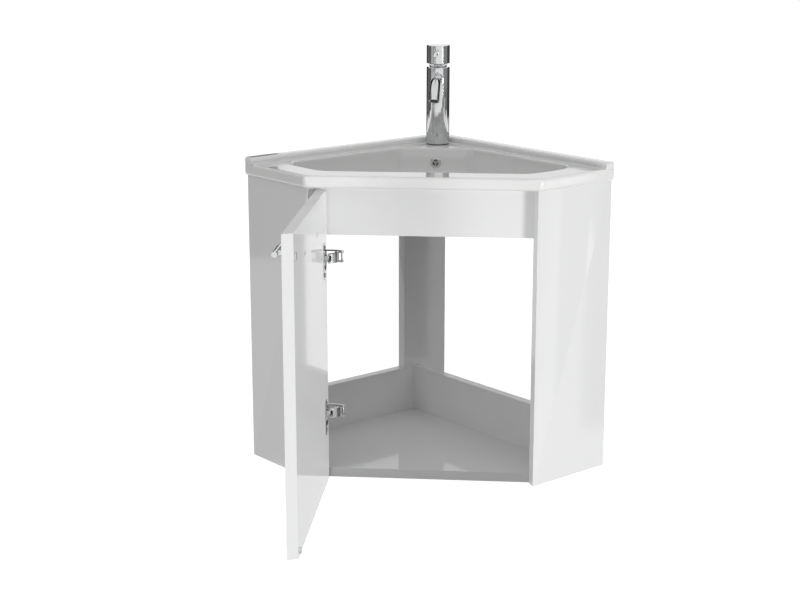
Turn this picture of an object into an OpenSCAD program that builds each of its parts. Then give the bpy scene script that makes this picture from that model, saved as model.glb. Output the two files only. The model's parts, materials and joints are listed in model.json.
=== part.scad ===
// Corner vanity unit: a five-sided cabinet for a room corner, with a basin and a pillar tap on it.
// The origin is where the two walls meet, at the height of the cabinet's underside. The walls run
// from it along (-1, -1) and (1, -1), and the front looks along -Y. All sizes are in millimetres.

/* [Cabinet] */
// Width over the two side corners
cabinet_w = 600; // [590:5:620]
// Width of the front between the side panels' outer corners
front_w = 365; // [355:5:370]
// Height of the side panels
cabinet_h = 490; // [480:5:520]
// Thickness of the boards
board_t = 16; // [16:1:17]
// Height of the back rails
rail_h = 98; // [80:2:110]
// Height of the apron under the basin
apron_h = 79; // [70:1:90]
// Gap between the right wall and the lower right rail
service_gap = 59; // [50:1:65]

/* [Door] */
// Gap between the door's free edge and the side panel
free_gap = 2.5; // [2:0.5:4]
// Gap between the door's hinge edge and the side panel
hinge_gap = 4.5; // [4.5:0.5:6]
// Gap between the door's top and the basin
top_gap = 4.5; // [2:0.5:5]
// Height of the lower hinge's middle
low_hinge_z = 115; // [100:1:150]
// Height of the upper hinge's middle
high_hinge_z = 375; // [330:0.5:380]

/* [Handle] */
// Length of the handle bar
handle_l = 158; // [150:1:220]
// Distance between the handle's two screws
handle_pitch = 128; // [96:32:128]
// Diameter of the handle bar
handle_d = 9; // [8:0.5:12]
// Distance of the bar's axis from the door
handle_reach = 27; // [22:1:32]
// Height of the handle bar
handle_z = 433.5; // [400:0.5:450]

/* [Basin] */
// How far the rim stands out over the front of the cabinet
rim_over = 3; // [2:0.5:4]
// How far the rim stands out over the side panels
side_over = 6; // [4:0.5:7]
// Thickness of the rim
rim_t = 20; // [18:1:22]
// Height of the upstand over the rim
upstand_h = 10; // [8:1:14]
// Depth of the bowl
bowl_depth = 84; // [80:1:88]
// Thickness of the bowl's wall
shell_t = 9; // [8:1:10]

/* [Tap] */
// Diameter of the tap's body
tap_d = 41; // [40:1:44]
// Height of the tap over the rim
tap_h = 174.5; // [170:0.5:185]
// Length of the lever in front of the cap
lever_l = 58; // [45:1:65]
// Height of the spout's axis over the rim
spout_z = 115; // [105:1:118]

/* [Hidden] */
$fn = 48;

// Colours
lacquer = [0.93, 0.93, 0.93];
cast = [0.97, 0.97, 0.97];
chrome = [0.78, 0.79, 0.81];
steel = [0.66, 0.67, 0.69];
black = [0.12, 0.12, 0.12];
beech = [0.80, 0.66, 0.47];
root2 = sqrt(2);
slack = 0.05;

// Cabinet. A wall frame has X out along a wall from the room corner and Y off that wall.
corner_depth = cabinet_w - front_w / 2;
wall_run = cabinet_w / root2;
panel_in = wall_run - board_t;
panel_depth = (cabinet_w - front_w) / root2;
mitre = board_t * tan(22.5);
bumper_gap = 3;
carcass_y = board_t + bumper_gap;
apron_z = cabinet_h - apron_h;
upper_rail_z = cabinet_h - rail_h;
right_rail_n = service_gap + board_t;

// Dowels, wall screws and apron brackets
dowel_r = 4;
dowel_l = 30;
face_depth = 11;
dowel_edge = 25;
wall_screw_r = 3;
wall_screw_u = [130, 340];
bracket_t = 2;
bracket_leg = 22;
bracket_w = 30;
bracket_z = apron_z + 15;
small_screw_r = 1.75;
small_head_r = 3.5;
small_head_h = 1.8;
small_screw_l = 13;

// Door, drawn closed in the front frame, whose Y = 0 is the closed door's face
door_h = cabinet_h - top_gap;
free_x = front_w / 2 - free_gap;
hinge_x = hinge_gap - front_w / 2;
edge_r = 2;
bumper_r = 5;
handle_head_r = 4.2;
handle_head_h = 2.2;
handle_grip = 12;
bumper_x = free_x - 20;

// Hinge linkage: the point about which the door's whole turn goes, and the pins in the cup and arm
door_turn = 90;
pole = [hinge_x + 12.5, 5.5];
cup_in = [0.3, 4.6];
cup_out = [2.6, 7.8];
arm_reach = 4.8;
inner_arm_pin = pole + arm_reach * [cup_in.x + cup_in.y, cup_in.y - cup_in.x];
outer_arm_pin = pole + [34, 15.5];
cup_pin_r = 1.1;
arm_pin_r = 1.5;
inner_half = 4;
outer_half = 7.8;
link_t = 1.6;
arm_half = 9.3;
arm_t = 1.2;
cup_r = 17.5;
cup_depth = 11.5;
cup_wall = 1;
cup_edge = 2;
cup_x = hinge_x + mitre + cup_edge + cup_r;
flange_t = 0.8;
flange_r = 18.3;
cup_screw = [9.5, 22.5];
plate_n = 122;
rib_d = 8.6;

// Basin
rim_z = cabinet_h + rim_t;
drain = [0, 155 - corner_depth];
drain_r = 22.5;
recess_r = 34;
floor_z = rim_z - bowl_depth - 1;
corner_steps = 6;
upstand_w = 20;
upstand_end_r = 6;
tap_at = [0, -62.5];
tap_hole_r = 17;
overflow_y = 302 - corner_depth;
overflow_z = rim_z - 26;
overflow_r = 6.5;
channel_r = 4.5;
slot_depth = 5.5;
wall_lean = 5.7;
shell_z = rim_z - 96;
nut_r = 30;

// Tap
tap_r = tap_d / 2;
seal_t = 1.5;
body_top = rim_z + 136.5;
cap_z = body_top + 5.5;
tilt_z = cap_z + 4;
ball_r = 17.6;
cap_top = rim_z + tap_h;
lever_z = rim_z + 163.5;
lever_r = 3.75;
spout_r = 9;
spout_bore = 7.8;
spout_bend = 45;
spout_turn = 60;
spout_run = 58;
shank_r = 14;
shank_l = 36;
tail_r = 5;
tail_l = 40;
tail_x = 7.5;

// Points and frames
function dir(a) = [cos(a), sin(a)];
function turn(p, a) = [p.x * cos(a) - p.y * sin(a), p.x * sin(a) + p.y * cos(a)];
function opened(p) = pole + turn(p - pole, -door_turn);
function right_point(u, n) = [(u - n) / root2, -(u + n) / root2];
function left_point(u, n) = [-right_point(u, n).x, right_point(u, n).y];
function inner_x(y) = panel_in * root2 - corner_depth + y;
// A front-frame point in the left panel's frame: its distance off the panel, and off the wall
function off_panel(p) = [panel_in + (p.x + p.y - corner_depth) / root2,
    (p.x - p.y + corner_depth) / root2];
// Where two edges meet; an edge is the angle of its outward normal and its distance
function meet(e, f) = [e[1] * sin(f[0]) - f[1] * sin(e[0]), f[1] * cos(e[0]) - e[1] * cos(f[0])]
    / sin(f[0] - e[0]);
// Outline of a convex shape from its edges, with each corner rounded by its own radius
function outline(edges, radii) = [for (i = [0:len(edges) - 1])
    let (e = edges[i], f = edges[(i + 1) % len(edges)], r = radii[i],
        turn = (f[0] - e[0] + 360) % 360,
        c = meet([e[0], e[1] - r], [f[0], f[1] - r]))
    for (k = [0:corner_steps]) c + r * dir(e[0] + turn * k / corner_steps)];
function lift(points, z) = [for (p = points) [p.x, p.y, z]];

module at_front() translate([0, -corner_depth, 0]) children();
module left_wall() rotate([0, 0, -135]) children();
module right_wall() mirror([1, 0, 0]) left_wall() children();
// X off the left panel's inner face, Y off the wall
module on_panel() left_wall() translate([panel_in, 0, 0]) mirror([1, 0, 0]) children();
// Puts what is drawn on the closed door where the door stands open
module with_door() at_front() translate(pole) rotate([0, 0, -door_turn]) translate(-pole) children();
// Looks into the closed door from its inner face: X as the door's, Y up, Z into the board
module into_door(x, z) translate([x, board_t, z]) rotate([90, 0, 0]) children();
module bar(p, q, w) translate(p) rotate(atan2(q.y - p.y, q.x - p.x)) translate([0, -w / 2])
    square([norm(q - p), w]);
module slab(z, h) translate([0, 0, z]) linear_extrude(h) children();
module screw(head_r, head_h, shank_r, length) {
    translate([0, 0, -head_h]) cylinder(h = head_h, r = head_r);
    cylinder(h = length, r = shank_r);
}

// A closed skin through rings of points, the last ring joined to the first
module skin(rings) {
    n = len(rings[0]);
    m = len(rings);
    polyhedron([for (r = rings) each r], [for (i = [0:m - 1], j = [0:n - 1])
        let (a = i * n + j, b = i * n + (j + 1) % n, k = (i + 1) % m,
            c = k * n + (j + 1) % n, d = k * n + j)
        each [[a, c, b], [a, d, c]]]);
}

// ---- Cabinet boards ----

// Dowels along X, each with its short end in the face of the board at x and its long end before it
module row_x(x, y, heights) for (z = heights)
    translate([x + face_depth, y, z]) rotate([0, -90, 0]) cylinder(h = dowel_l, r = dowel_r);

module row_y(xs, y, z) for (x = xs)
    translate([x, y - face_depth, z]) rotate([-90, 0, 0]) cylinder(h = dowel_l, r = dowel_r);

module all_dowels() {
    low = [dowel_edge, rail_h - dowel_edge];
    high = [for (z = low) z + upper_rail_z];
    mid = board_t / 2;
    left_wall() {
        row_x(panel_in, mid, concat(low, high));
        for (n = [50, 120]) row_x(panel_in, n, [mid]);
        row_y([150, 320], board_t, mid);
        for (u = low, z = [rail_h, upper_rail_z])
            translate([u, mid, z]) cylinder(h = dowel_l, r = dowel_r, center = true);
    }
    right_wall() {
        row_x(panel_in, right_rail_n - mid, low);
        row_x(panel_in, mid, high);
        for (n = [100, 140]) row_x(panel_in, n, [mid]);
        row_y([120, 300], right_rail_n, mid);
        translate([board_t, 0, 0]) mirror([1, 0, 0]) {
            row_x(0, right_rail_n - mid, low);
            row_x(0, mid, high);
        }
    }
}

module side_panel() linear_extrude(cabinet_h) polygon([[panel_in, 0], [wall_run, 0],
    [wall_run, panel_depth], [panel_in, panel_depth - mitre]]);

module left_side_panel() color(lacquer) difference() {
    left_wall() side_panel();
    all_dowels();
    plate_screws();
    bracket_screws();
}

module right_side_panel() color(lacquer) difference() {
    right_wall() side_panel();
    all_dowels();
    bracket_screws();
}

module bottom_board() color(lacquer) difference() {
    half = inner_x(carcass_y);
    front = carcass_y - corner_depth;
    linear_extrude(board_t) polygon([[-half, front], [half, front],
        right_point(panel_in, right_rail_n), right_point(board_t, right_rail_n),
        left_point(panel_in, board_t)]);
    all_dowels();
}

module front_apron() color(lacquer) difference() {
    half = inner_x(carcass_y);
    at_front() slab(apron_z, apron_h) polygon([[-half, carcass_y], [half, carcass_y],
        [half + board_t, carcass_y + board_t], [-half - board_t, carcass_y + board_t]]);
    bracket_screws();
}

module lower_left_rail() color(lacquer) difference() {
    left_wall() cube([panel_in, board_t, rail_h]);
    all_dowels();
}

module lower_right_rail() color(lacquer) difference() {
    right_wall() translate([board_t, service_gap, 0]) cube([panel_in - board_t, board_t, rail_h]);
    all_dowels();
}

module corner_post() color(lacquer) difference() {
    left_wall() translate([0, 0, rail_h]) cube([rail_h, board_t, upper_rail_z - rail_h]);
    all_dowels();
}

module wall_screw_holes() for (u = wall_screw_u)
    translate([u, -1, cabinet_h - rail_h / 2]) rotate([-90, 0, 0])
        cylinder(h = board_t + 2, r = wall_screw_r);

module upper_left_rail() color(lacquer) difference() {
    left_wall() difference() {
        translate([0, 0, upper_rail_z]) cube([panel_in, board_t, rail_h]);
        wall_screw_holes();
    }
    all_dowels();
}

module upper_right_rail() color(lacquer) difference() {
    right_wall() difference() {
        translate([board_t, 0, upper_rail_z]) cube([panel_in - board_t, board_t, rail_h]);
        wall_screw_holes();
    }
    all_dowels();
}

module dowels() color(beech) all_dowels();

// Bent plates in the inside corners between the apron and the side panels
module bracket_places() for (side = [0, 1]) mirror([side, 0, 0]) at_front()
    translate([-inner_x(carcass_y + board_t), carcass_y + board_t, bracket_z]) children();

module apron_brackets() color(steel) difference() {
    fold = bracket_t * tan(22.5);
    bracket_places() linear_extrude(bracket_w) polygon([[0, 0], [bracket_leg, 0],
        [bracket_leg, bracket_t], [-fold, bracket_t], bracket_leg * dir(135) + bracket_t * dir(45),
        bracket_leg * dir(135)]);
    bracket_screws();
}

module bracket_screws() color(steel) bracket_places() for (z = [8, 22]) {
    translate([14, bracket_t, z]) rotate([90, 0, 0])
        screw(small_head_r, small_head_h, small_screw_r, small_screw_l);
    translate([0, 0, z]) rotate([0, 0, 45]) translate([bracket_t, 14, 0]) rotate([0, -90, 0])
        screw(small_head_r, small_head_h, small_screw_r, small_screw_l);
}

// ---- Hinges ----

module plate_screws_at(z) on_panel() for (side = [-1, 1])
    translate([2, plate_n, z + side * 16]) rotate([0, -90, 0])
        screw(small_head_r, small_head_h, small_screw_r, small_screw_l);

module arm_screws_at(z) on_panel() for (n = [108, 136])
    translate([rib_d + arm_t, n, z]) rotate([0, -90, 0])
        screw(small_head_r, small_head_h, small_screw_r, rib_d - 2);

module plate_screws() color(steel) for (z = [low_hinge_z, high_hinge_z]) plate_screws_at(z);
module arm_screws() color(steel) for (z = [low_hinge_z, high_hinge_z]) arm_screws_at(z);

// Wings on the panel, and a rib that carries the arm
module hinge_plate(z) color(steel) difference() {
    on_panel() translate([0, 0, z]) {
        translate([0, plate_n - 8, -24]) cube([2, 16, 48]);
        translate([0, 98, -7.5]) cube([rib_d, 48, 15]);
    }
    plate_screws_at(z);
    arm_screws_at(z);
}
module hinge_plate_top() hinge_plate(high_hinge_z);
module hinge_plate_bottom() hinge_plate(low_hinge_z);

// Bent channel from the plate to the two pins at its tip
module hinge_arm(z) color(steel) {
    inner = off_panel(inner_arm_pin);
    outer = off_panel(outer_arm_pin);
    bend = [6.3, 150];
    along = (inner - bend) / norm(inner - bend);
    back = [along.y, -along.x];
    on_panel() translate([0, 0, z]) difference() {
        union() {
            for (low = [-arm_half, arm_half - arm_t]) slab(low, arm_t) {
                bar([bend.x, 96], bend, 7);
                translate(bend) circle(3.5);
                bar(bend, inner, 7);
                translate(inner) circle(3.5);
                bar(inner, outer, 6);
                translate(outer) circle(3);
            }
            slab(-arm_half, 2 * arm_half) {
                bar([rib_d + arm_t / 2, 96], [rib_d + arm_t / 2, 148.5], arm_t);
                bar(bend + 2.9 * back, bend + 20 * along + 2.9 * back, arm_t);
            }
        }
        for (pin = [inner, outer]) translate([pin.x, pin.y, -arm_half - 1])
            cylinder(h = 2 * arm_half + 2, r = arm_pin_r);
        for (n = [108, 136]) translate([0, n, 0]) rotate([0, 90, 0])
            cylinder(h = 20, r = small_screw_r);
    }
}
module hinge_arm_top() hinge_arm(high_hinge_z);
module hinge_arm_bottom() hinge_arm(low_hinge_z);

module arm_pins() color(steel) at_front() for (z = [low_hinge_z, high_hinge_z])
    for (pin = [inner_arm_pin, outer_arm_pin]) translate([pin.x, pin.y, z - arm_half])
        cylinder(h = 2 * arm_half, r = arm_pin_r);

// A link lies along its own X from the cup's pin to the arm's pin
module along_link(cup_end, arm_end, z) at_front() translate([cup_end.x, cup_end.y, z])
    rotate([0, 0, atan2(arm_end.y - cup_end.y, arm_end.x - cup_end.x)]) children();

module inner_link(z) color(steel) {
    cup_end = opened(pole + cup_in);
    length = norm(inner_arm_pin - cup_end);
    knee = [7.3, -5.7];
    along_link(cup_end, inner_arm_pin, z) difference() {
        slab(-inner_half, 2 * inner_half) {
            circle(1.9);
            bar([0, 0], knee, 2);
            translate(knee) circle(1);
            bar(knee, [length, 0], 2);
            translate([length, 0]) circle(3);
        }
        translate([0, 0, -inner_half - 1]) cylinder(h = 2 * inner_half + 2, r = cup_pin_r + slack);
        translate([length, 0, -inner_half - 1])
            cylinder(h = 2 * inner_half + 2, r = arm_pin_r + slack);
    }
}
module inner_link_top() inner_link(high_hinge_z);
module inner_link_bottom() inner_link(low_hinge_z);

// Channel with its curved web to the front, notched where the inner link passes through it. Its
// tongues stop short of the cup's pins.
module outer_link(z) color(chrome) {
    cup_end = opened(pole + cup_out);
    length = norm(outer_arm_pin - cup_end);
    curve_r = 22;
    centre = [12.5, 16.2];
    first = asin((4 - centre.x) / curve_r);
    last = asin((length - 6 - centre.x) / curve_r);
    angles = [for (k = [0:12]) first + (last - first) * k / 12];
    arc = [for (a = angles) centre + curve_r * [sin(a), -cos(a)]];
    inner_arc = [for (a = angles) centre + (curve_r - link_t) * [sin(a), -cos(a)]];
    back = [[length, -2.8], [length, 2.8], [5.5, -0.8], inner_arc[0]];
    notch = [10, inner_half + 0.9];
    along_link(cup_end, outer_arm_pin, z) difference() {
        union() {
            for (low = [-outer_half, outer_half - link_t]) slab(low, link_t) {
                polygon(concat(arc, back));
                translate([length, 0]) circle(2.8);
            }
            slab(-outer_half, 2 * outer_half)
                polygon(concat(arc, [for (k = [12:-1:0]) inner_arc[k]]));
        }
        translate([0, -outer_half, -notch.y]) cube([notch.x, 2 * outer_half, 2 * notch.y]);
        translate([length, 0, -outer_half - 1])
            cylinder(h = 2 * outer_half + 2, r = arm_pin_r + slack);
    }
}
module outer_link_top() outer_link(high_hinge_z);
module outer_link_bottom() outer_link(low_hinge_z);

// The inner link turns on a whole pin, and passes between the two stubs of the outer link's pin
module cup_pins_at(z) with_door() translate([pole.x, pole.y, z]) {
    translate([cup_in.x, cup_in.y, 0]) cylinder(h = 19.8, r = cup_pin_r, center = true);
    for (side = [0, 1]) mirror([0, 0, side]) translate([cup_out.x, cup_out.y, inner_half + 1])
        cylinder(h = 12.6 - inner_half - 1, r = cup_pin_r);
}

module cup_screws_at(z) with_door() into_door(cup_x, z) for (side = [-1, 1])
    translate([cup_screw.x, side * cup_screw.y, -flange_t])
        screw(small_head_r, small_head_h, small_screw_r, small_screw_l);

module hinge_cup(z) color(chrome) difference() {
    with_door() into_door(cup_x, z) difference() {
        union() {
            cylinder(h = cup_depth, r = cup_r);
            slab(-flange_t, flange_t) {
                circle(flange_r);
                translate([cup_screw.x, 0]) square([16, 2 * cup_screw.y], center = true);
                for (side = [-1, 1]) translate([cup_screw.x, side * cup_screw.y]) circle(8);
            }
        }
        translate([0, 0, -flange_t - 1])
            cylinder(h = cup_depth - cup_wall + flange_t + 1, r = cup_r - cup_wall);
    }
    cup_pins_at(z);
    cup_screws_at(z);
}
module hinge_cup_top() hinge_cup(high_hinge_z);
module hinge_cup_bottom() hinge_cup(low_hinge_z);
module cup_pins() color(steel) for (z = [low_hinge_z, high_hinge_z]) cup_pins_at(z);
module cup_screws() color(steel) for (z = [low_hinge_z, high_hinge_z]) cup_screws_at(z);

// ---- Door and handle ----

module door() color(lacquer) difference() {
    edge_arc = [for (k = [0:corner_steps])
        [hinge_x + edge_r / tan(33.75), edge_r] + edge_r * dir(157.5 + 112.5 * k / corner_steps)];
    with_door() difference() {
        linear_extrude(door_h) polygon(concat(edge_arc,
            [[free_x, 0], [free_x - mitre, board_t], [hinge_x + mitre, board_t]]));
        for (z = [low_hinge_z, high_hinge_z]) into_door(cup_x, z) translate([0, 0, -1])
            cylinder(h = cup_depth + 1, r = cup_r);
    }
    for (z = [low_hinge_z, high_hinge_z]) cup_screws_at(z);
    handle_screws();
}

module door_bumpers() color([0.85, 0.85, 0.85]) with_door()
    for (z = [board_t / 2, apron_z + apron_h / 2]) into_door(bumper_x, z)
        translate([0, 0, -bumper_gap + 0.3]) cylinder(h = bumper_gap - 0.3, r = bumper_r);

module handle_ends() with_door() for (side = [-1, 1])
    translate([side * handle_pitch / 2, 0, handle_z]) rotate([90, 0, 0]) children();

module bar_rod() with_door() translate([-handle_l / 2, -handle_reach, handle_z])
    rotate([0, 90, 0]) cylinder(h = handle_l, r = handle_d / 2);

module handle_bar() color(chrome) difference() {
    bar_rod();
    handle_ends() cylinder(h = handle_reach, r = 2.5);
}

// Each post has a spigot that is pressed into the bar
module handle_posts() color(chrome) difference() {
    union() {
        difference() {
            handle_ends() cylinder(h = handle_reach, r = 3.75);
            bar_rod();
        }
        handle_ends() cylinder(h = handle_reach, r = 2.5);
    }
    handle_screws();
}

// Their heads are sunk flush into the door's inner face
module handle_screws() color(steel) handle_ends() rotate([180, 0, 0])
    translate([0, 0, board_t - handle_head_h]) mirror([0, 0, 1])
        screw(handle_head_r, handle_head_h, 2, board_t - handle_head_h + handle_grip);

// ---- Basin ----

rim_edges = [[-90, corner_depth + rim_over], [-45, wall_run + side_over], [45, 0], [90, -12],
    [135, 0], [225, wall_run + side_over]];
rim_radii = [14, 3, 4, 4, 3, 14];
bowl_edges = [[-90, corner_depth - 47], [-45, wall_run - 45.5], [45, -35],
    [90, 306 - corner_depth], [135, -35], [225, wall_run - 45.5]];
bowl_radii = [45, 45, 28, 28, 45, 45];
// Sections of the bowl: share of the way from the drain to the opening, and depth under the rim
bowl_sections = [[1.03, 0], [1.015, 1], [1, 3.5], [0.99, 8], [0.98, 16], [0.972, 28],
    [0.955, 44], [0.92, 58], [0.86, 69], [0.76, 77], [0.6, 81], [0.3, 83.5], [0, 84]];
shell_sections = [[0, 96], [0.14, 96], [0.55, 94.5], [0.76, 90], [0.88, 81], [0.945, 66],
    [0.975, 46], [0.995, 20]];
rim_sections = [[5, 20], [2, 19.2], [0.5, 17.5], [0, 15], [0, 5], [1.5, 1.6], [5, 0]];

// Outline of the rim, drawn in by inset on its free edges
function rim_ring(inset, depth) = lift(outline([for (e = rim_edges)
        [e[0], e[1] > 0 ? e[1] - inset : e[1]]], [for (r = rim_radii) r - inset / 2]),
    rim_z - depth);

// Section of the bowl around the drain, grown outwards by the wall's thickness where asked
function bowl_ring(share, depth, wall = 0) = let (
    edges = [for (e = bowl_edges) [e[0], wall + drain_r * (1 - share)
        + (e[1] - drain * dir(e[0])) * share]],
    radii = [for (r = bowl_radii) wall + drain_r * (1 - share) + r * share])
    lift([for (p = outline(edges, radii)) drain + p], rim_z - depth);

module basin_shell() skin(concat(
    [for (s = rim_sections) rim_ring(s[0], s[1])],
    [for (s = bowl_sections) bowl_ring(s[0], s[1])],
    [bowl_ring(0, 96)],
    [for (s = shell_sections) bowl_ring(s[0], s[1], shell_t)]));

// Low wall along the back of the rim, blended into it, with its end rounded down to the side face
module upstand() {
    soft = 7;
    blend = upstand_h - soft;
    end = wall_run + side_over;
    profile = concat([[-1, -1], [upstand_w + blend, -1]],
        [for (a = [270:-22.5:180]) [upstand_w + blend, blend] + blend * dir(a)],
        [for (a = [15:15:90]) [upstand_w - soft, blend] + soft * dir(a)], [[-1, upstand_h]]);
    side = concat([[0, -2], [end, -2]],
        [for (a = [0:15:90]) [end - upstand_end_r, upstand_h - upstand_end_r] + upstand_end_r * dir(a)],
        [[0, upstand_h]]);
    translate([0, 0, rim_z]) intersection() {
        rotate([90, 0, 90]) linear_extrude(end + 1) polygon(profile);
        translate([0, 2 * upstand_w, 0]) rotate([90, 0, 0]) linear_extrude(2 * upstand_w + 2)
            polygon(side);
    }
}

// Looks out of the overflow, square to the leaning wall of the bowl
module at_overflow() translate([0, overflow_y, overflow_z]) rotate([90 - wall_lean, 0, 0])
    children();

// The overflow runs back from the bowl, down behind it and forward to the waste
module overflow_path(r, start) {
    duct_y = overflow_y + 10;
    bend_z = floor_z - slot_depth;
    at_overflow() translate([0, 0, -10]) cylinder(h = 10 - start, r = r + overflow_r - channel_r);
    translate([0, duct_y, bend_z]) cylinder(h = overflow_z - bend_z, r = r);
    translate([0, drain.y + drain_r - 2, bend_z]) rotate([-90, 0, 0])
        cylinder(h = duct_y - drain.y - drain_r + 2, r = r);
}

module basin() color(cast) difference() {
    union() {
        basin_shell();
        intersection() {
            union() {
                left_wall() upstand();
                right_wall() upstand();
            }
            slab(rim_z - 2, upstand_h + 4) polygon(outline(rim_edges, rim_radii));
        }
        difference() {
            overflow_path(channel_r + 4, 3);
            translate([drain.x, drain.y, 0]) cylinder(h = rim_z, r = drain_r + 2);
            translate([drain.x, drain.y, 0]) cylinder(h = shell_z, r = nut_r + 1);
        }
    }
    overflow_path(channel_r, -6);
    translate([drain.x, drain.y, floor_z]) cylinder(h = bowl_depth, r = recess_r);
    translate([tap_at.x, tap_at.y, cabinet_h - 1]) cylinder(h = rim_t + 2, r = tap_hole_r);
}

// Ring with three spokes in the overflow's mouth
module overflow_ring() color(chrome) at_overflow() {
    difference() {
        union() {
            translate([0, 0, 0.2]) cylinder(h = 1.6, r1 = 9.3, r2 = 8);
            translate([0, 0, -5]) cylinder(h = 5.4, r = overflow_r - slack);
        }
        translate([0, 0, -6]) cylinder(h = 9, r = 5.4);
    }
    for (a = [-90, 30, 150]) rotate([0, 0, a]) translate([0, -0.9, -1]) cube([5.7, 1.8, 2]);
}

// ---- Waste ----

module at_drain(z) translate([drain.x, drain.y, z]) children();

// Flange and threaded tail, with the plug's seat, overflow slots, a relief under the nut's thread
// and a cross with the plug's guide
module waste_flange() color(chrome) at_drain(floor_z) {
    difference() {
        rotate_extrude() polygon([[19.6, 2.5], [31, 2.5], [33, 0.8], [33, 0], [21, 0], [21, -22.5],
            [19.5, -22.5], [19.5, -24.5], [21, -24.5], [21, -37], [17.5, -37], [17.5, -1],
            [19.6, -1]]);
        for (a = [0, 90]) rotate([0, 90, a]) translate([slot_depth, 0, 0])
            cylinder(h = 50, r = 2.5, center = true);
    }
    difference() {
        for (a = [45, 135]) rotate([0, 0, a]) translate([-18, -1.5, -30]) cube([36, 3, 8]);
        translate([0, 0, -31]) cylinder(h = 10, r = 4 + slack);
    }
}

module waste_seal() color(black) at_drain(shell_z - 3) difference() {
    cylinder(h = 3, r = nut_r);
    translate([0, 0, -1]) cylinder(h = 5, r = 21);
}

module waste_nut() color(chrome) at_drain(shell_z - 11) difference() {
    cylinder(h = 8, r = nut_r, $fn = 6);
    translate([0, 0, -1]) cylinder(h = 10, r = 21);
}

module drain_plug() color(chrome) at_drain(floor_z) {
    rotate_extrude() polygon([[0, -1], [19.2, -1], [19.2, 2], [17, 3.4], [0, 4.2]]);
    translate([0, 0, -34]) cylinder(h = 34, r = 4);
}

// ---- Tap ----

module at_tap(z) translate([tap_at.x, tap_at.y, z]) children();

module tap_seal() color(black) at_tap(rim_z) difference() {
    cylinder(h = seal_t, r = tap_r - 1);
    translate([0, 0, -1]) cylinder(h = seal_t + 2, r = shank_r);
}

module tap_body() color(chrome) at_tap(rim_z + seal_t) {
    top = body_top - rim_z - seal_t;
    difference() {
        rotate_extrude() polygon([[0, 0], [tap_r, 0], [tap_r, top - 1.2], [tap_r - 1.2, top],
            [0, top]]);
        translate([0, 0, -1]) cylinder(h = 13, r = shank_r);
        translate([0, 0, top - 20]) cylinder(h = 21, r = 12);
        translate([0, 0, spout_z - seal_t]) rotate([90, 0, 0]) translate([0, 0, tap_r - 8])
            cylinder(h = 20, r = spout_r);
    }
}

// Ring of points around the spout's path, which has turned down by the angle a at its centre
function spout_ring(centre, a, r) = [for (t = [0:15:345])
    centre + r * cos(t) * [1, 0, 0] + r * sin(t) * [0, -sin(a), cos(a)]];
spout_mouth = 6;
spout_centre = [0, tap_at.y - spout_run, rim_z + spout_z - spout_bend];
function spout_rings(r) = concat(
    [spout_ring([0, tap_at.y - tap_r + 8, rim_z + spout_z], 0, r)],
    [for (a = [0:10:spout_turn])
        spout_ring(spout_centre + spout_bend * [0, -sin(a), cos(a)], a, r)],
    [spout_ring(spout_centre + spout_bend * [0, -sin(spout_turn), cos(spout_turn)]
        - spout_mouth * [0, cos(spout_turn), sin(spout_turn)], spout_turn, r)]);

module spout() color(chrome) {
    inner = spout_rings(spout_bore);
    skin(concat(spout_rings(spout_r), [for (k = [len(inner) - 1:-1:0]) inner[k]]));
}

// Insert a little way inside the spout's mouth
module aerator() color(black) translate(spout_centre) rotate([spout_turn, 0, 0])
    translate([0, 0, spout_bend]) rotate([90, 0, 0]) difference() {
    translate([0, 0, 0.5]) cylinder(h = 4, r = spout_bore - 0.2);
    for (x = [-1, 1], y = [-1, 1]) translate([2.6 * x, 2.6 * y, 0]) cylinder(h = 6, r = 1.6);
}

// Threaded tail under the rim, with the two tubes that the water comes in by
module tap_shank() color(steel) at_tap(cabinet_h - shank_l) {
    cylinder(h = shank_l + rim_t + seal_t + 12, r = shank_r);
    for (x = [-tail_x, tail_x]) translate([x, 0, -tail_l]) difference() {
        cylinder(h = tail_l + 1, r = tail_r);
        translate([0, 0, -1]) cylinder(h = tail_l + 1, r = tail_r - 1);
    }
}

module tap_washer() color(black) at_tap(cabinet_h - 3) difference() {
    cylinder(h = 3, r = 23);
    translate([0, 0, -1]) cylinder(h = 5, r = shank_r);
}

module tap_nut() color(steel) at_tap(cabinet_h - 13) difference() {
    cylinder(h = 10, r = 22, $fn = 6);
    translate([0, 0, -1]) cylinder(h = 12, r = shank_r);
}

// Turning ball on a stem in the body; the cap tilts on the axle through it
module lever_spindle() color(chrome) at_tap(tilt_z) {
    base = body_top - tilt_z;
    difference() {
        union() {
            intersection() {
                sphere(ball_r);
                translate([0, 0, base]) cylinder(h = ball_r - base, r = ball_r);
            }
            translate([0, 0, base - 19]) cylinder(h = 20, r = 12 - slack);
        }
        rotate([0, 90, 0]) cylinder(h = 2 * ball_r + 2, r = 1.6, center = true);
    }
}

module lever_axle() color(steel) at_tap(tilt_z) rotate([0, 90, 0])
    cylinder(h = 38, r = 1.6, center = true);

module lever_cap() color(chrome) at_tap(tilt_z) difference() {
    low = cap_z - tilt_z;
    top = cap_top - tilt_z;
    rotate_extrude() polygon([[0, low], [tap_r - 1.2, low], [tap_r, low + 1.2], [tap_r, top - 0.8],
        [tap_r - 0.8, top], [0, top]]);
    sphere(ball_r + 0.4);
    translate([0, 0, low - 1]) cylinder(h = 1 - low, r = ball_r + 0.4);
    rotate([0, 90, 0]) cylinder(h = 38.6, r = 1.6 + slack, center = true);
    translate([0, 0, lever_z - tilt_z]) rotate([90, 0, 0]) translate([0, 0, tap_r - 7])
        cylinder(h = 20, r = lever_r);
}

module lever_pin() color(chrome) at_tap(lever_z) rotate([90, 0, 0])
    translate([0, 0, tap_r - 7]) rotate_extrude() polygon([[0, 0], [lever_r, 0],
        [lever_r, lever_l + 6.2], [lever_r - 0.8, lever_l + 7], [0, lever_l + 7]]);

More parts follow.
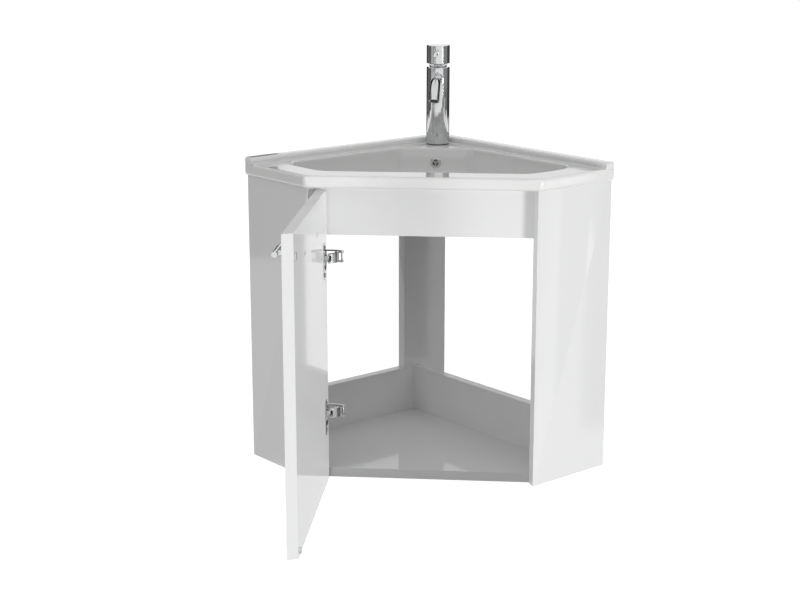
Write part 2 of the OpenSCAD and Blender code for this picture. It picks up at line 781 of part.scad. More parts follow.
left_side_panel();
right_side_panel();
bottom_board();
front_apron();
lower_left_rail();
lower_right_rail();
corner_post();
upper_left_rail();
upper_right_rail();
dowels();
apron_brackets();
bracket_screws();
hinge_plate_top();
hinge_plate_bottom();
hinge_arm_top();
hinge_arm_bottom();
arm_pins();
plate_screws();
arm_screws();
inner_link_top();
inner_link_bottom();
outer_link_top();
outer_link_bottom();
hinge_cup_top();
hinge_cup_bottom();
cup_pins();
cup_screws();
door();
door_bumpers();
handle_bar();
handle_posts();
handle_screws();
basin();
overflow_ring();
waste_flange();
waste_seal();
waste_nut();
drain_plug();
tap_seal();
tap_body();
spout();
aerator();
tap_shank();
tap_washer();
tap_nut();
lever_spindle();
lever_axle();
lever_cap();
lever_pin();
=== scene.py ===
"""Dresses the corner vanity unit in its finishes and sets the studio and camera around it.

Sizes are in metres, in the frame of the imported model: the origin is in the room corner at the
height of the cabinet's underside, the walls run along (-1, -1) and (1, -1), the front looks
along -Y and Z is up.
"""
import json
import math

import bmesh
import bpy
from mathutils import Matrix, Vector

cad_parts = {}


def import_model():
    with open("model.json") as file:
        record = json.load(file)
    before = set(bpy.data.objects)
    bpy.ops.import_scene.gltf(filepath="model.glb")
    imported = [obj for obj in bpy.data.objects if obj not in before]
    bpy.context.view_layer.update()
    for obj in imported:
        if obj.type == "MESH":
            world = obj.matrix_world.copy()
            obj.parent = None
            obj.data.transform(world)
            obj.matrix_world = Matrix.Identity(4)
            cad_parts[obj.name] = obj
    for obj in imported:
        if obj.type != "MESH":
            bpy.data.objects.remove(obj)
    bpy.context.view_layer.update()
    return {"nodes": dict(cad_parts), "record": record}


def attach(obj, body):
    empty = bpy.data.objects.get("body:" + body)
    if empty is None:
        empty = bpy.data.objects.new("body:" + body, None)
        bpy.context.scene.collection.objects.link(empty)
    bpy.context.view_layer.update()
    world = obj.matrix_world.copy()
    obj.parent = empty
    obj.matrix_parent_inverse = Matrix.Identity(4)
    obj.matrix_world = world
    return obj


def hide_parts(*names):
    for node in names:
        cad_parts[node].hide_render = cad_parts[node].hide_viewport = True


MM = 0.001

# Cabinet and rim, as in the part
CORNER_DEPTH = 417.5
WALL_RUN = 424.264
CABINET_H = 490.0
RIM_Z = 510.0
RIM_OVER = 3.0
SIDE_OVER = 6.0

# Bowl and its openings
DRAIN = (0.0, -262.5)
DRAIN_R = 22.5
RECESS_R = 34.0
FLOOR_Z = 425.0
SHELL_T = 9.0
UPSTAND_W = 20.0
UPSTAND_H = 10.0
UPSTAND_END_R = 6.0
UPSTAND_SOFT = 7.0
UPSTAND_BLEND = 3.0
OVERFLOW = (0.0, -115.5, 484.0)
OVERFLOW_R = 6.5
CHANNEL_R = 4.5
DUCT_BACK = 10.0
SLOT_DEPTH = 5.5
WALL_LEAN = 5.7
NUT_R = 30.0
SHELL_Z = 414.0
SHELL_DEPTH = 96.0
DUCT_WALL = 4.0
DUCT_START = 3.0
CHANNEL_START = -6.0

# Tap
TAP_AT = (0.0, -62.5)
TAP_HOLE_R = 17.0
SPOUT_FROM = -75.0
SPOUT_Z = 625.0
SPOUT_R = 9.0
SPOUT_BORE = 7.8
SPOUT_BEND = 45.0
SPOUT_TURN = 60.0
SPOUT_RUN = 58.0
SPOUT_MOUTH = 6.0
SPOUT_LIP = 0.5
BORE_EASE = 0.2

# How finely round forms are cut
CORNER_STEPS = 14
ROUND_STEPS = 64
SECTION_CUTS = 3
ARC_STEPS = 6

RIM_EDGES = [(-90, CORNER_DEPTH + RIM_OVER), (-45, WALL_RUN + SIDE_OVER), (45, 0.0), (90, -12.0),
             (135, 0.0), (225, WALL_RUN + SIDE_OVER)]
RIM_RADII = [14.0, 3.0, 4.0, 4.0, 3.0, 14.0]
BOWL_EDGES = [(-90, CORNER_DEPTH - 47), (-45, WALL_RUN - 45.5), (45, -35.0),
              (90, 306 - CORNER_DEPTH), (135, -35.0), (225, WALL_RUN - 45.5)]
BOWL_RADII = [45.0, 45.0, 28.0, 28.0, 45.0, 45.0]
# Share of the way from the drain to the opening, and depth under the rim
BOWL_SECTIONS = [(1.03, 0.0), (1.015, 1.0), (1.0, 3.5), (0.99, 8.0), (0.98, 16.0), (0.972, 28.0),
                 (0.955, 44.0), (0.92, 58.0), (0.86, 69.0), (0.76, 77.0), (0.6, 81.0),
                 (0.3, 83.5), (0.0, 84.0)]
SHELL_SECTIONS = [(0.0, SHELL_DEPTH), (0.14, SHELL_DEPTH), (0.55, 94.5), (0.76, 90.0), (0.88, 81.0),
                  (0.945, 66.0), (0.975, 46.0), (0.995, 20.0)]
# Inset from the rim's outline, and depth under the rim
RIM_SECTIONS = [(5.0, 20.0), (3.2, 19.7), (2.0, 19.2), (1.1, 18.4), (0.5, 17.5), (0.1, 16.3),
                (0.0, 15.0), (0.0, 5.0), (0.2, 3.7), (0.7, 2.6), (1.5, 1.6), (2.6, 0.7),
                (3.8, 0.2), (5.0, 0.0)]

# Camera
CAMERA_AT = (0.19470, -2.98664, 0.95213)
CAMERA_PITCH = 13.977
CAMERA_YAW = 5.124
CAMERA_LENS = 74.56
SENSOR = 36.0

# Light
LIGHT_OVER = 0.58
LIGHT_FRONT = 0.05
LIGHT_BACK = 0.02
LIGHT_BELOW = 0.05
# Parts of a direction's Y or Z over which one level gives way to the next
BEHIND_SPAN = (-0.3, 0.3)
OVER_SPAN = (0.2, 0.5)
UPWARDS_SPAN = (-0.3, 0.0)
LAMPS = {"key": ((0.77, -0.64, -0.09), 1.8), "fill": ((-0.5, -0.86, -0.09), 0.72)}
LAMP_SOFTNESS = 14.0
INSIDE_BOARDS = ("lower_left_rail", "lower_right_rail", "corner_post", "upper_left_rail",
                 "upper_right_rail", "bottom_board")
FLOOR_Z_M = -0.34
FLOOR_SIZE = 60.0
FLOOR_GLOW = 1.32
FLOOR_SHADE = 0.25
FLOOR_BOUNCE = 0.4

# Cards that reflections show: azimuth and width in degrees, distance, level
CARDS = {"back_left": (-143.0, 44.0, 3.0, 0.02), "left": (-92.0, 56.0, 3.1, 0.16),
         "front_left": (-38.0, 38.0, 3.2, 0.42), "right": (76.0, 50.0, 3.1, 0.30),
         "right_back": (118.0, 34.0, 3.0, 0.09), "back_right": (150.0, 30.0, 3.1, 0.02)}
CARD_LOW = -0.2
CARD_HIGH = 2.6
# Cards beside the right panel: from and to along Y, lowest and highest, level
SIDE_CARDS = {"window": (-0.46, -0.315, -0.05, 0.4, 1.6), "dim": (-0.31, -0.15, -0.33, 0.45, 0.1)}
SIDE_CARD_X = 1.5


# ---- Studio ----

def add_node(tree, kind, inputs=None, **settings):
    node = tree.nodes.new("ShaderNode" + kind)
    for name, value in settings.items():
        setattr(node, name, value)
    for name, value in (inputs or {}).items():
        node.inputs[name].default_value = value
    return node


def join(tree, source, target):
    tree.links.new(source, target)


def seen_directly(tree):
    """1 for camera, glossy and transmission rays, which see the white surroundings."""
    path = add_node(tree, "LightPath")
    first = add_node(tree, "Math", operation="MAXIMUM")
    second = add_node(tree, "Math", operation="MAXIMUM")
    join(tree, path.outputs["Is Camera Ray"], first.inputs[0])
    join(tree, path.outputs["Is Glossy Ray"], first.inputs[1])
    join(tree, first.outputs[0], second.inputs[0])
    join(tree, path.outputs["Is Transmission Ray"], second.inputs[1])
    return second.outputs[0]


def smooth_step(tree, source, start, end):
    step = add_node(tree, "MapRange", {"From Min": start, "From Max": end},
                    interpolation_type="SMOOTHSTEP")
    join(tree, source, step.inputs[0])
    return step.outputs[0]


def blend_levels(tree, share, low, high):
    """low where share is 0 and high where it is 1; each is a number or a node's output."""
    mix = add_node(tree, "Mix")
    join(tree, share, mix.inputs[0])
    for value, socket in ((low, mix.inputs[2]), (high, mix.inputs[3])):
        if isinstance(value, float):
            socket.default_value = value
        else:
            join(tree, value, socket)
    return mix.outputs[0]


def make_world():
    """Soft room light: strong from above, fair from the front, weak from the wall corner behind."""
    world = bpy.data.worlds.new("studio")
    bpy.context.scene.world = world
    world.use_nodes = True
    tree = world.node_tree
    tree.nodes.clear()
    towards = add_node(tree, "SeparateXYZ")
    join(tree, add_node(tree, "TexCoord").outputs["Generated"], towards.inputs[0])
    behind = smooth_step(tree, towards.outputs[1], *BEHIND_SPAN)
    over = smooth_step(tree, towards.outputs[2], *OVER_SPAN)
    upwards = smooth_step(tree, towards.outputs[2], *UPWARDS_SPAN)
    level = blend_levels(tree, behind, LIGHT_FRONT, LIGHT_BACK)
    level = blend_levels(tree, upwards, LIGHT_BELOW, level)
    level = blend_levels(tree, over, level, LIGHT_OVER)
    soft = add_node(tree, "Background", {"Color": (1.0, 1.0, 1.0, 1.0)})
    join(tree, level, soft.inputs["Strength"])
    white = add_node(tree, "Background", {"Color": (1.0, 1.0, 1.0, 1.0), "Strength": 1.0})
    mix = add_node(tree, "MixShader")
    out = add_node(tree, "OutputWorld")
    join(tree, seen_directly(tree), mix.inputs[0])
    join(tree, soft.outputs[0], mix.inputs[1])
    join(tree, white.outputs[0], mix.inputs[2])
    join(tree, mix.outputs[0], out.inputs[0])


def make_lamps(frame):
    """Large lamps before the unit; the boards inside it get the soft room light alone."""
    inside = bpy.data.collections.new("inside")
    for name, (towards, strength) in LAMPS.items():
        lamp = bpy.data.lights.new(name, "SUN")
        lamp.energy = strength
        lamp.angle = math.radians(LAMP_SOFTNESS)
        made = bpy.data.objects.new(name, lamp)
        made.rotation_mode = "QUATERNION"
        made.rotation_quaternion = Vector(towards).to_track_quat("Z", "Y")
        bpy.context.scene.collection.objects.link(made)
        made.light_linking.receiver_collection = inside
    for node in INSIDE_BOARDS:
        inside.objects.link(frame["nodes"][node])
    for entry in inside.collection_objects:
        entry.light_linking.link_state = "EXCLUDE"


def make_camera():
    data = bpy.data.cameras.new("camera")
    data.lens = CAMERA_LENS
    data.sensor_width = SENSOR
    camera = bpy.data.objects.new("camera", data)
    camera.location = CAMERA_AT
    camera.rotation_euler = (math.radians(90 - CAMERA_PITCH), 0.0, math.radians(CAMERA_YAW))
    bpy.context.scene.collection.objects.link(camera)
    bpy.context.scene.camera = camera


def flat_card(name, corners, material):
    mesh = bpy.data.meshes.new(name)
    mesh.from_pydata(corners, [], [(0, 1, 2, 3)])
    mesh.materials.append(material)
    card = bpy.data.objects.new(name, mesh)
    bpy.context.scene.collection.objects.link(card)
    return card


def floor_material():
    made = bpy.data.materials.new("floor")
    made.use_nodes = True
    tree = made.node_tree
    tree.nodes.clear()
    grain = add_node(tree, "TexNoise", {"Scale": 3.0, "Detail": 4.0})
    tone = add_node(tree, "ValToRGB")
    tone.color_ramp.elements[0].color = (0.89, 0.89, 0.89, 1.0)
    tone.color_ramp.elements[1].color = (0.91, 0.91, 0.91, 1.0)
    diffuse = add_node(tree, "BsdfDiffuse")
    bounce = add_node(tree, "BsdfDiffuse", {"Color": (FLOOR_BOUNCE,) * 3 + (1.0,)})
    glow = add_node(tree, "Emission", {"Color": (1.0, 1.0, 1.0, 1.0), "Strength": FLOOR_GLOW})
    shade = add_node(tree, "MixShader", {0: FLOOR_SHADE})
    mix = add_node(tree, "MixShader")
    out = add_node(tree, "OutputMaterial")
    join(tree, grain.outputs[0], tone.inputs[0])
    join(tree, tone.outputs[0], diffuse.inputs[0])
    join(tree, glow.outputs[0], shade.inputs[1])
    join(tree, diffuse.outputs[0], shade.inputs[2])
    join(tree, seen_directly(tree), mix.inputs[0])
    join(tree, bounce.outputs[0], mix.inputs[1])
    join(tree, shade.outputs[0], mix.inputs[2])
    join(tree, mix.outputs[0], out.inputs[0])
    return made


def card_material(name, level):
    made = bpy.data.materials.new(name)
    made.use_nodes = True
    tree = made.node_tree
    tree.nodes.clear()
    glow = add_node(tree, "Emission", {"Color": (level, level, level, 1.0), "Strength": 1.0})
    out = add_node(tree, "OutputMaterial")
    join(tree, glow.outputs[0], out.inputs[0])
    return made


def hide_card(card):
    """The card shows in reflections only, and lights nothing."""
    card.visible_camera = False
    card.visible_diffuse = False
    card.visible_transmission = False
    card.visible_shadow = False


def upright_card(name, azimuth, width, distance, level):
    """Studio card round the unit. Azimuth 0 is in front of the unit, 90 to its right."""
    angles = [math.radians(azimuth - width / 2), math.radians(azimuth + width / 2)]
    feet = [(distance * math.sin(a), -distance * math.cos(a)) for a in angles]
    corners = [(x, y, CARD_LOW) for x, y in feet] + [(x, y, CARD_HIGH) for x, y in reversed(feet)]
    hide_card(flat_card(name, corners, card_material(name, level)))


def make_stage():
    half = FLOOR_SIZE / 2
    corners = [(-half, -half, FLOOR_Z_M), (half, -half, FLOOR_Z_M), (half, half, FLOOR_Z_M),
               (-half, half, FLOOR_Z_M)]
    floor = flat_card("floor", corners, floor_material())
    floor.visible_shadow = False
    for name, (azimuth, width, distance, level) in CARDS.items():
        upright_card("card_" + name, azimuth, width, distance, level)
    for name, (near, far, low, high, level) in SIDE_CARDS.items():
        corners = [(SIDE_CARD_X, near, low), (SIDE_CARD_X, far, low), (SIDE_CARD_X, far, high),
                   (SIDE_CARD_X, near, high)]
        hide_card(flat_card("card_" + name, corners, card_material(name, level)))


# ---- Finishes ----

class Finish:
    """A principled material whose colour, roughness and bump come from textures in its own space."""

    def __init__(self, name, **sockets):
        self.material = bpy.data.materials.new(name)
        self.material.use_nodes = True
        self.tree = self.material.node_tree
        self.shader = self.tree.nodes["Principled BSDF"]
        self.space = add_node(self.tree, "TexCoord").outputs["Object"]
        for socket, value in sockets.items():
            self.shader.inputs[socket.replace("_", " ")].default_value = value

    def noise(self, scale, detail=4.0, stretch=(1.0, 1.0, 1.0), rough=0.5):
        mapping = add_node(self.tree, "Mapping", {"Scale": stretch})
        texture = add_node(self.tree, "TexNoise",
                           {"Scale": scale, "Detail": detail, "Roughness": rough})
        join(self.tree, self.space, mapping.inputs[0])
        join(self.tree, mapping.outputs[0], texture.inputs["Vector"])
        return texture.outputs[0]

    def cells(self, scale):
        texture = add_node(self.tree, "TexVoronoi", {"Scale": scale})
        join(self.tree, self.space, texture.inputs["Vector"])
        return texture.outputs["Distance"]

    def bands(self, scale, axis="Z", distortion=0.0):
        texture = add_node(self.tree, "TexWave", {"Scale": scale, "Distortion": distortion},
                           bands_direction=axis)
        join(self.tree, self.space, texture.inputs["Vector"])
        return texture.outputs[1]

    def colours(self, source, low, high, start=0.3, end=0.7):
        ramp = add_node(self.tree, "ValToRGB")
        ramp.color_ramp.elements[0].position = start
        ramp.color_ramp.elements[0].color = (*low, 1.0)
        ramp.color_ramp.elements[1].position = end
        ramp.color_ramp.elements[1].color = (*high, 1.0)
        join(self.tree, source, ramp.inputs[0])
        join(self.tree, ramp.outputs[0], self.shader.inputs["Base Color"])

    def roughness(self, source, low, high, start=0.3, end=0.7):
        spread = add_node(self.tree, "MapRange", {"From Min": start, "From Max": end,
                                                  "To Min": low, "To Max": high})
        join(self.tree, source, spread.inputs[0])
        join(self.tree, spread.outputs[0], self.shader.inputs["Roughness"])

    def bump(self, source, strength, depth):
        bump = add_node(self.tree, "Bump", {"Strength": strength, "Distance": depth})
        join(self.tree, source, bump.inputs["Height"])
        if self.shader.inputs["Normal"].is_linked:
            join(self.tree, self.shader.inputs["Normal"].links[0].from_socket,
                 bump.inputs["Normal"])
        join(self.tree, bump.outputs[0], self.shader.inputs["Normal"])


def lacquer_finish(name="white_lacquer", gloss=0.12):
    """High-gloss sprayed lacquer with a faint orange peel and handling marks."""
    finish = Finish(name, IOR=1.5, Specular_IOR_Level=gloss, Metallic=0.05)
    finish.colours(finish.noise(6.0), (0.888, 0.89, 0.893), (0.905, 0.906, 0.905))
    finish.roughness(finish.noise(45.0, 8.0, rough=0.7), 0.03, 0.08)
    finish.bump(finish.noise(260.0, 2.0), 0.04, 0.0004)
    return finish.material


def cast_finish():
    """Mineral cast under a gel coat: even, glossy, with a slow waviness of the mould."""
    finish = Finish("mineral_cast", IOR=1.5, Coat_Weight=0.5, Coat_Roughness=0.03,
                    Subsurface_Weight=0.03, Subsurface_Scale=0.01)
    finish.colours(finish.noise(9.0), (0.905, 0.905, 0.9), (0.92, 0.92, 0.918))
    finish.roughness(finish.noise(70.0, 8.0, rough=0.7), 0.08, 0.15)
    finish.bump(finish.noise(30.0, 1.0), 0.03, 0.001)
    return finish.material


def chrome_finish(name="chrome", tone=0.63, haze=0.0):
    """Polished plating with a faint haze and hairline wipe marks."""
    finish = Finish(name, Metallic=1.0)
    low = (0.95 * tone, 0.955 * tone, 0.965 * tone)
    finish.colours(finish.noise(20.0), low, tuple(1.1 * c for c in low))
    finish.roughness(finish.noise(90.0, 8.0, stretch=(1.0, 1.0, 0.15), rough=0.7), 0.03 + haze,
                     0.075 + haze)
    finish.bump(finish.noise(900.0, 3.0, stretch=(1.0, 1.0, 0.1)), 0.02, 0.0001)
    return finish.material


def threaded_finish(name, base, pitch):
    """Metal with a fine thread's ridges along Z."""
    finish = Finish(name, Metallic=1.0)
    finish.colours(finish.noise(150.0), tuple(0.93 * c for c in base), base)
    finish.roughness(finish.noise(200.0, 6.0), 0.14, 0.3)
    finish.bump(finish.bands(math.pi / (10.0 * pitch)), 0.7, 0.0004)
    return finish.material


def zinc_finish():
    """Zinc-plated sheet steel with its crystalline mottle and rolling lines."""
    finish = Finish("zinc_steel", Metallic=1.0)
    finish.colours(finish.cells(700.0), (0.30, 0.30, 0.305), (0.44, 0.44, 0.445), 0.1, 0.8)
    finish.roughness(finish.noise(300.0, 6.0, rough=0.7), 0.16, 0.34)
    finish.bump(finish.noise(1500.0, 4.0, stretch=(0.1, 1.0, 1.0)), 0.08, 0.0001)
    return finish.material


def beech_finish():
    """Steamed beech with its flecks and fine grain."""
    finish = Finish("beech", Specular_IOR_Level=0.3)
    finish.colours(finish.noise(180.0, 8.0, stretch=(1.0, 1.0, 0.08)), (0.50, 0.34, 0.19),
                   (0.69, 0.52, 0.34))
    finish.roughness(finish.noise(400.0), 0.5, 0.7)
    finish.bump(finish.noise(900.0, 6.0, stretch=(1.0, 1.0, 0.08)), 0.3, 0.0003)
    return finish.material


def bumper_finish():
    """Clear soft polyurethane."""
    finish = Finish("clear_bumper", Transmission_Weight=0.8, IOR=1.49)
    finish.colours(finish.noise(300.0), (0.86, 0.87, 0.87), (0.93, 0.94, 0.94))
    finish.roughness(finish.noise(500.0), 0.12, 0.25)
    finish.bump(finish.noise(800.0), 0.1, 0.0002)
    return finish.material


def plastic_finish():
    """Moulded black plastic with a fine texture."""
    finish = Finish("black_plastic")
    finish.colours(finish.noise(600.0), (0.016, 0.016, 0.017), (0.028, 0.028, 0.03))
    finish.roughness(finish.noise(800.0, 6.0), 0.32, 0.48)
    finish.bump(finish.noise(2500.0, 2.0), 0.15, 0.0001)
    return finish.material


def rubber_finish():
    """Matt black rubber."""
    finish = Finish("black_rubber", Specular_IOR_Level=0.3)
    finish.colours(finish.noise(400.0), (0.02, 0.02, 0.02), (0.035, 0.034, 0.033))
    finish.roughness(finish.noise(700.0, 6.0), 0.6, 0.85)
    finish.bump(finish.noise(2000.0, 4.0), 0.3, 0.0002)
    return finish.material


def make_finishes():
    return {
        "white_lacquer": lacquer_finish(),
        "mineral_cast": cast_finish(),
        "chrome": chrome_finish(),
        "zinc_steel": zinc_finish(),
        "beech": beech_finish(),
        "clear_bumper": bumper_finish(),
        "black_plastic": plastic_finish(),
        "black_rubber": rubber_finish(),
    }


# ---- Mesh helpers ----

def mesh_object(name, points, faces):
    mesh = bpy.data.meshes.new(name)
    mesh.from_pydata([tuple(c * MM for c in p) for p in points], [], faces)
    mesh.update()
    made = bpy.data.objects.new(name, mesh)
    bpy.context.scene.collection.objects.link(made)
    return made


def face_outwards(thing):
    shape = bmesh.new()
    shape.from_mesh(thing.data)
    bmesh.ops.recalc_face_normals(shape, faces=shape.faces)
    shape.to_mesh(thing.data)
    shape.free()


def rings_object(name, rings, closed=False):
    """Skin through rings of equally many points; a closed one joins its last ring to its first."""
    count = len(rings[0])
    points = [p for ring in rings for p in ring]
    faces = []
    spans = len(rings) if closed else len(rings) - 1
    for i in range(spans):
        k = (i + 1) % len(rings)
        for j in range(count):
            n = (j + 1) % count
            faces.append((i * count + j, i * count + n, k * count + n, k * count + j))
    if not closed:
        faces.append(tuple(range(count)))
        last = (len(rings) - 1) * count
        faces.append(tuple(last + j for j in reversed(range(count))))
    made = mesh_object(name, points, faces)
    face_outwards(made)
    return made


def combine(target, tool, operation):
    change = target.modifiers.new("combine", "BOOLEAN")
    change.operation = operation
    change.solver = "EXACT"
    change.object = tool
    apply_modifiers(target)
    bpy.data.objects.remove(tool)


def apply_modifiers(thing):
    bpy.context.view_layer.update()
    graph = bpy.context.evaluated_depsgraph_get()
    mesh = bpy.data.meshes.new_from_object(thing.evaluated_get(graph))
    thing.modifiers.clear()
    thing.data = mesh


def smooth(thing, angle=35.0):
    """Smooth shading that keeps edges sharper than the angle, weighted to the large faces."""
    limit = math.radians(angle)
    shape = bmesh.new()
    shape.from_mesh(thing.data)
    for face in shape.faces:
        face.smooth = True
    for edge in shape.edges:
        edge.smooth = len(edge.link_faces) == 2 and edge.calc_face_angle() < limit
    shape.to_mesh(thing.data)
    shape.free()
    weigh = thing.modifiers.new("weigh", "WEIGHTED_NORMAL")
    weigh.keep_sharp = True
    weigh.weight = 60


def circle(radius, steps=ROUND_STEPS):
    return [(radius * math.cos(2 * math.pi * k / steps), radius * math.sin(2 * math.pi * k / steps))
            for k in range(steps)]


def rod(name, radius, start, end):
    """Closed cylinder between two points, as a cutting tool."""
    start = Vector(start)
    end = Vector(end)
    turned = (end - start).to_track_quat("Z", "Y")
    rings = [[tuple(centre + turned @ Vector((x, y, 0.0))) for x, y in circle(radius)]
             for centre in (start, end)]
    return rings_object(name, rings)


# ---- Basin ----

def direction(angle):
    return Vector((math.cos(math.radians(angle)), math.sin(math.radians(angle))))


def meet(first, second):
    """Where two edges meet; an edge is the angle of its outward normal and its distance."""
    a, b = math.radians(first[0]), math.radians(second[0])
    sine = math.sin(b - a)
    return Vector(((first[1] * math.sin(b) - second[1] * math.sin(a)) / sine,
                   (second[1] * math.cos(a) - first[1] * math.cos(b)) / sine))


def outline(edges, radii):
    """Points of a convex shape from its edges, with each corner rounded by its own radius."""
    points = []
    for i, (edge, radius) in enumerate(zip(edges, radii)):
        following = edges[(i + 1) % len(edges)]
        turn = (following[0] - edge[0]) % 360
        centre = meet((edge[0], edge[1] - radius), (following[0], following[1] - radius))
        for k in range(CORNER_STEPS + 1):
            points.append(centre + radius * direction(edge[0] + turn * k / CORNER_STEPS))
    return points


def rim_ring(inset, depth):
    edges = [(a, d - inset if d > 0 else d) for a, d in RIM_EDGES]
    radii = [r - inset / 2 for r in RIM_RADII]
    return [(p.x, p.y, RIM_Z - depth) for p in outline(edges, radii)]


def bowl_ring(share, depth, wall=0.0):
    drain = Vector(DRAIN)
    base = wall + DRAIN_R * (1 - share)
    edges = [(a, base + (d - drain.dot(direction(a))) * share) for a, d in BOWL_EDGES]
    radii = [base + r * share for r in BOWL_RADII]
    return [(p.x + drain.x, p.y + drain.y, RIM_Z - depth) for p in outline(edges, radii)]


def eased(sections):
    """The sections with smooth ones between them."""
    fine = []
    last = len(sections) - 1
    for i in range(last):
        a, b, c, d = (Vector(sections[min(max(k, 0), last)]) for k in range(i - 1, i + 3))
        for k in range(SECTION_CUTS):
            t = k / SECTION_CUTS
            fine.append(0.5 * (2 * b + (c - a) * t + (2 * a - 5 * b + 4 * c - d) * t ** 2
                               + (3 * b - a - 3 * c + d) * t ** 3))
    fine.append(Vector(sections[last]))
    return fine


def upstand_profile():
    """Section of the low wall: Y off the wall, Z over the rim, with its concave foot."""
    points = [(-1.0, -1.0), (UPSTAND_W + UPSTAND_BLEND, -1.0)]
    for k in range(ARC_STEPS + 1):
        p = direction(270 - 90 * k / ARC_STEPS) * UPSTAND_BLEND
        points.append((UPSTAND_W + UPSTAND_BLEND + p.x, UPSTAND_BLEND + p.y))
    for k in range(1, 2 * ARC_STEPS + 1):
        p = direction(90 * k / (2 * ARC_STEPS)) * UPSTAND_SOFT
        points.append((UPSTAND_W - UPSTAND_SOFT + p.x, UPSTAND_BLEND + p.y))
    points.append((-1.0, UPSTAND_H))
    return points


def upstand_side():
    """The wall from the side, with its end rounded down."""
    end = WALL_RUN + SIDE_OVER
    points = [(0.0, -2.0), (end, -2.0)]
    for k in range(2 * ARC_STEPS + 1):
        p = direction(90 * k / (2 * ARC_STEPS)) * UPSTAND_END_R
        points.append((end - UPSTAND_END_R + p.x, UPSTAND_H - UPSTAND_END_R + p.y))
    points.append((0.0, UPSTAND_H))
    return points


def upstand(side):
    """Low wall along the back of the rim; side is -1 on the left wall and 1 on the right one."""
    end = WALL_RUN + SIDE_OVER
    rings = [[(x, n, z) for n, z in upstand_profile()] for x in (0.0, end + 1)]
    wall = rings_object("upstand", rings)
    trim = rings_object("trim", [[(x, y, z) for x, z in upstand_side()]
                                 for y in (-2.0, 2 * UPSTAND_W)])
    combine(wall, trim, "INTERSECT")
    root = math.sqrt(0.5)
    spin = Matrix(((side * root, -side * root, 0, 0), (-root, -root, 0, 0), (0, 0, 1, RIM_Z * MM),
                   (0, 0, 0, 1)))
    wall.data.transform(spin)
    face_outwards(wall)
    edges = [(p.x, p.y) for p in outline(RIM_EDGES, RIM_RADII)]
    bound = rings_object("bound", [[(x, y, z) for x, y in edges]
                                   for z in (RIM_Z - 2, RIM_Z + UPSTAND_H + 2)])
    combine(wall, bound, "INTERSECT")
    return wall


def overflow_rods(radius, start):
    """The overflow's mouth, its duct behind the bowl and its run to the waste."""
    lean = math.radians(WALL_LEAN)
    out = Vector((0.0, -math.cos(lean), -math.sin(lean)))
    mouth = Vector(OVERFLOW)
    duct_y = OVERFLOW[1] + DUCT_BACK
    low_z = FLOOR_Z - SLOT_DEPTH
    waste_y = DRAIN[1] + DRAIN_R - 2
    return [rod("mouth", radius + OVERFLOW_R - CHANNEL_R, mouth - 10 * out, mouth - start * out),
            rod("duct", radius, (0.0, duct_y, low_z), (0.0, duct_y, OVERFLOW[2])),
            rod("run", radius, (0.0, waste_y, low_z), (0.0, duct_y, low_z))]


def make_basin():
    """The cast basin with its upstands, overflow duct, waste recess and tap hole."""
    rings = [rim_ring(*s) for s in RIM_SECTIONS]
    rings += [bowl_ring(*s) for s in eased(BOWL_SECTIONS)]
    rings += [bowl_ring(0.0, SHELL_DEPTH)]
    rings += [bowl_ring(*s, wall=SHELL_T) for s in eased(SHELL_SECTIONS)]
    basin = rings_object("basin_cast", rings, closed=True)
    for side in (-1, 1):
        combine(basin, upstand(side), "UNION")
    x, y = DRAIN
    for part in overflow_rods(CHANNEL_R + DUCT_WALL, DUCT_START):
        combine(part, rod("keep", DRAIN_R + 2, (x, y, 0.0), (x, y, RIM_Z)), "DIFFERENCE")
        combine(part, rod("keep", NUT_R + 1, (x, y, 0.0), (x, y, SHELL_Z)), "DIFFERENCE")
        combine(basin, part, "UNION")
    for part in overflow_rods(CHANNEL_R, CHANNEL_START):
        combine(basin, part, "DIFFERENCE")
    combine(basin, rod("recess", RECESS_R, (x, y, FLOOR_Z), (x, y, RIM_Z - 1)), "DIFFERENCE")
    combine(basin, rod("hole", TAP_HOLE_R, (*TAP_AT, CABINET_H - 1), (*TAP_AT, RIM_Z + 1)),
            "DIFFERENCE")
    smooth(basin, 40.0)
    return basin


# ---- Spout ----

def spout_stations():
    """Centres along the spout with how far each has turned down."""
    middle = Vector((0.0, TAP_AT[1] - SPOUT_RUN, SPOUT_Z - SPOUT_BEND))
    stations = [(Vector((0.0, SPOUT_FROM, SPOUT_Z)), 0.0)]
    count = 3 * ARC_STEPS
    for k in range(count + 1):
        a = math.radians(SPOUT_TURN * k / count)
        stations.append((middle + SPOUT_BEND * Vector((0.0, -math.sin(a), math.cos(a))), a))
    centre, a = stations[-1]
    ahead = Vector((0.0, -math.cos(a), -math.sin(a)))
    stations.append((centre + (SPOUT_MOUTH - SPOUT_LIP) * ahead, a))
    return stations, centre + SPOUT_MOUTH * ahead, a


def spout_ring(centre, a, radius):
    """Ring square to the spout where it has turned down by the angle."""
    return [tuple(centre + Vector((x, -z * math.sin(a), z * math.cos(a))))
            for x, z in circle(radius)]


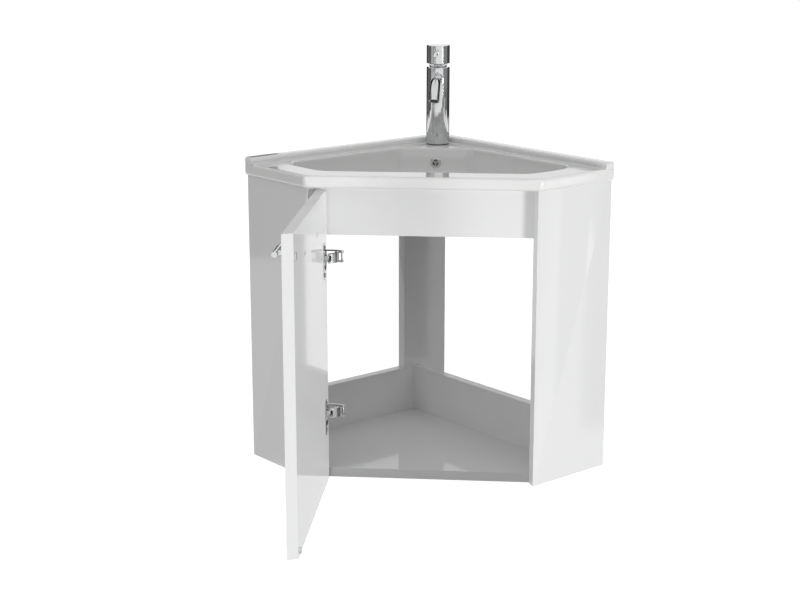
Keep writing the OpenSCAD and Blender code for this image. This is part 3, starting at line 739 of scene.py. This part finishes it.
def make_spout():
    stations, tip, a = spout_stations()
    rings = [spout_ring(c, t, SPOUT_R) for c, t in stations]
    back = Vector((0.0, math.cos(a), math.sin(a)))
    for k in range(1, ARC_STEPS + 1):
        turned = math.pi * k / (2 * ARC_STEPS)
        inset = SPOUT_LIP * (1 - math.cos(turned))
        set_back = SPOUT_LIP * (1 - math.sin(turned))
        rings.append(spout_ring(tip + set_back * back, a, SPOUT_R - inset))
    rings.append(spout_ring(tip, a, SPOUT_BORE + BORE_EASE))
    rings.append(spout_ring(tip + BORE_EASE * back, a, SPOUT_BORE))
    rings += [spout_ring(c, t, SPOUT_BORE) for c, t in reversed(stations)]
    spout = rings_object("spout_tube", rings, closed=True)
    smooth(spout, 40.0)
    return spout


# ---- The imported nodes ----

EDGE_BREAK = {"white_lacquer": 0.5, "chrome": 0.25, "zinc_steel": 0.15, "black_rubber": 0.3,
              "black_plastic": 0.15, "clear_bumper": 0.5, "beech": 0.5}
LEFT_AS_CUT = ("waste_flange", "overflow_ring", "lever_cap", "handle_posts", "aerator")
WELD_GAP = 0.002
SHARP_FROM = 40.0


def soften(thing, width):
    """Breaks the node's sharp edges by the width, in mm, as the real piece's are."""
    weld = thing.modifiers.new("weld", "WELD")
    weld.merge_threshold = WELD_GAP * MM
    bevel = thing.modifiers.new("edges", "BEVEL")
    bevel.width = width * MM
    bevel.segments = 2
    bevel.limit_method = "ANGLE"
    bevel.angle_limit = math.radians(SHARP_FROM)
    bevel.harden_normals = True
    bevel.use_clamp_overlap = True


def dress(frame, finishes):
    slots = {part["node"]: part["material_slot"] for part in frame["record"]["subparts"]}
    # Hinge cups and links: plated steel. Their tone is cut from the chrome's 0.63 to 0.34 so they
    # look dark. The plating is real; the extra darkness is painted shade.
    nickel_painted_shade = chrome_finish("hinge_nickel", 0.34, 0.08)
    special = {
        "tap_shank": threaded_finish("shank_thread", (0.74, 0.68, 0.52), 0.0015),
        "door": lacquer_finish("door_lacquer", 0.02),
    }
    for name in ("hinge_cup", "outer_link"):
        special[name + "_top"] = nickel_painted_shade
        special[name + "_bottom"] = nickel_painted_shade
    for node, thing in frame["nodes"].items():
        slot = slots[node]
        thing.data.materials.clear()
        thing.data.materials.append(special.get(node, finishes[slot]))
        if slot in EDGE_BREAK and node not in LEFT_AS_CUT:
            soften(thing, EDGE_BREAK[slot])


def place(piece, finish, body, node):
    piece.data.materials.clear()
    piece.data.materials.append(finish)
    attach(piece, body)
    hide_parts(node)


def main():
    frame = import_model()
    bpy.context.scene.view_settings.view_transform = "Standard"
    make_camera()
    make_world()
    make_lamps(frame)
    make_stage()
    finishes = make_finishes()
    dress(frame, finishes)
    place(make_basin(), finishes["mineral_cast"], "cabinet", "basin")
    place(make_spout(), finishes["chrome"], "cabinet", "spout")


main()
